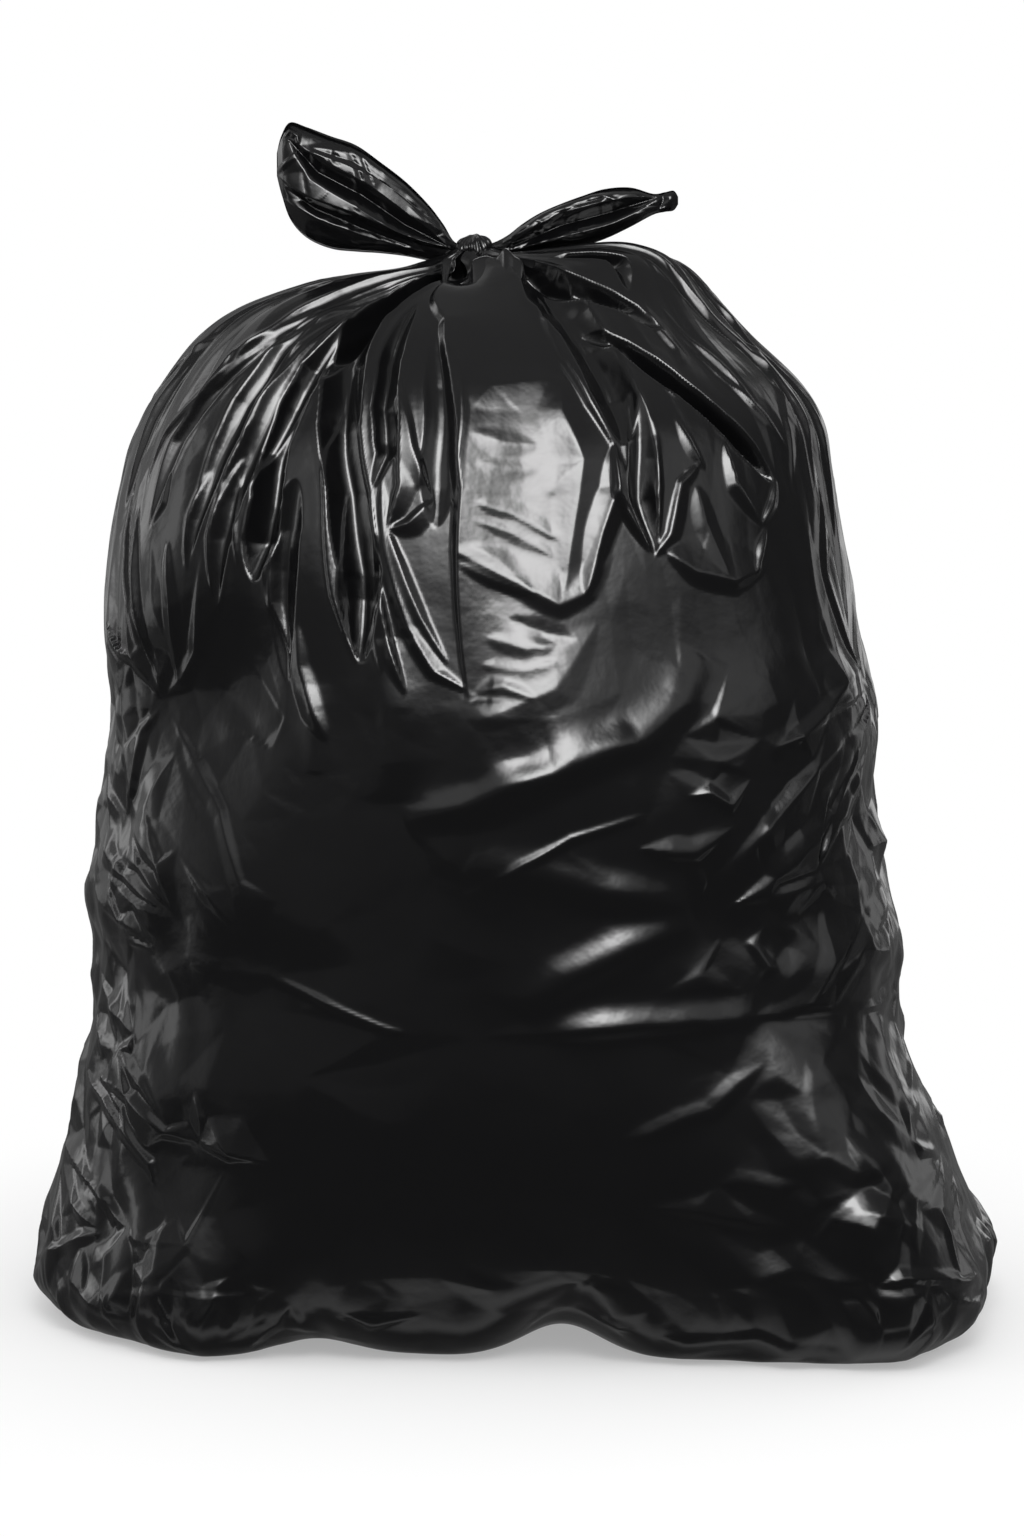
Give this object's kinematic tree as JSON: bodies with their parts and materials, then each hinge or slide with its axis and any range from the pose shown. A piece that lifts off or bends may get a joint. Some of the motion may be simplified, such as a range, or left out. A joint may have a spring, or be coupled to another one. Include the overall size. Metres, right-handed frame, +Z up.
{
  "type": "full bin bag",
  "caption": "Full black polythene bin bag, knotted at the mouth with two ears of film sticking out, standing upright on its base and creased all over.",
  "frame": {"origin": "middle of the bag's outer box, at the floor it stands on", "axes": "+Z up to the knot and ears, -Y the front of the bag, +X to the right of someone who looks at its front"},
  "size_m": [0.6491, 0.4374, 0.7944],
  "materials": {
    "black_film": "thin black blown polythene film, glossy, creased and gathered"
  },
  "bodies": {
    "root": {"bin_bag": "black_film"}
  },
  "joints": []
}
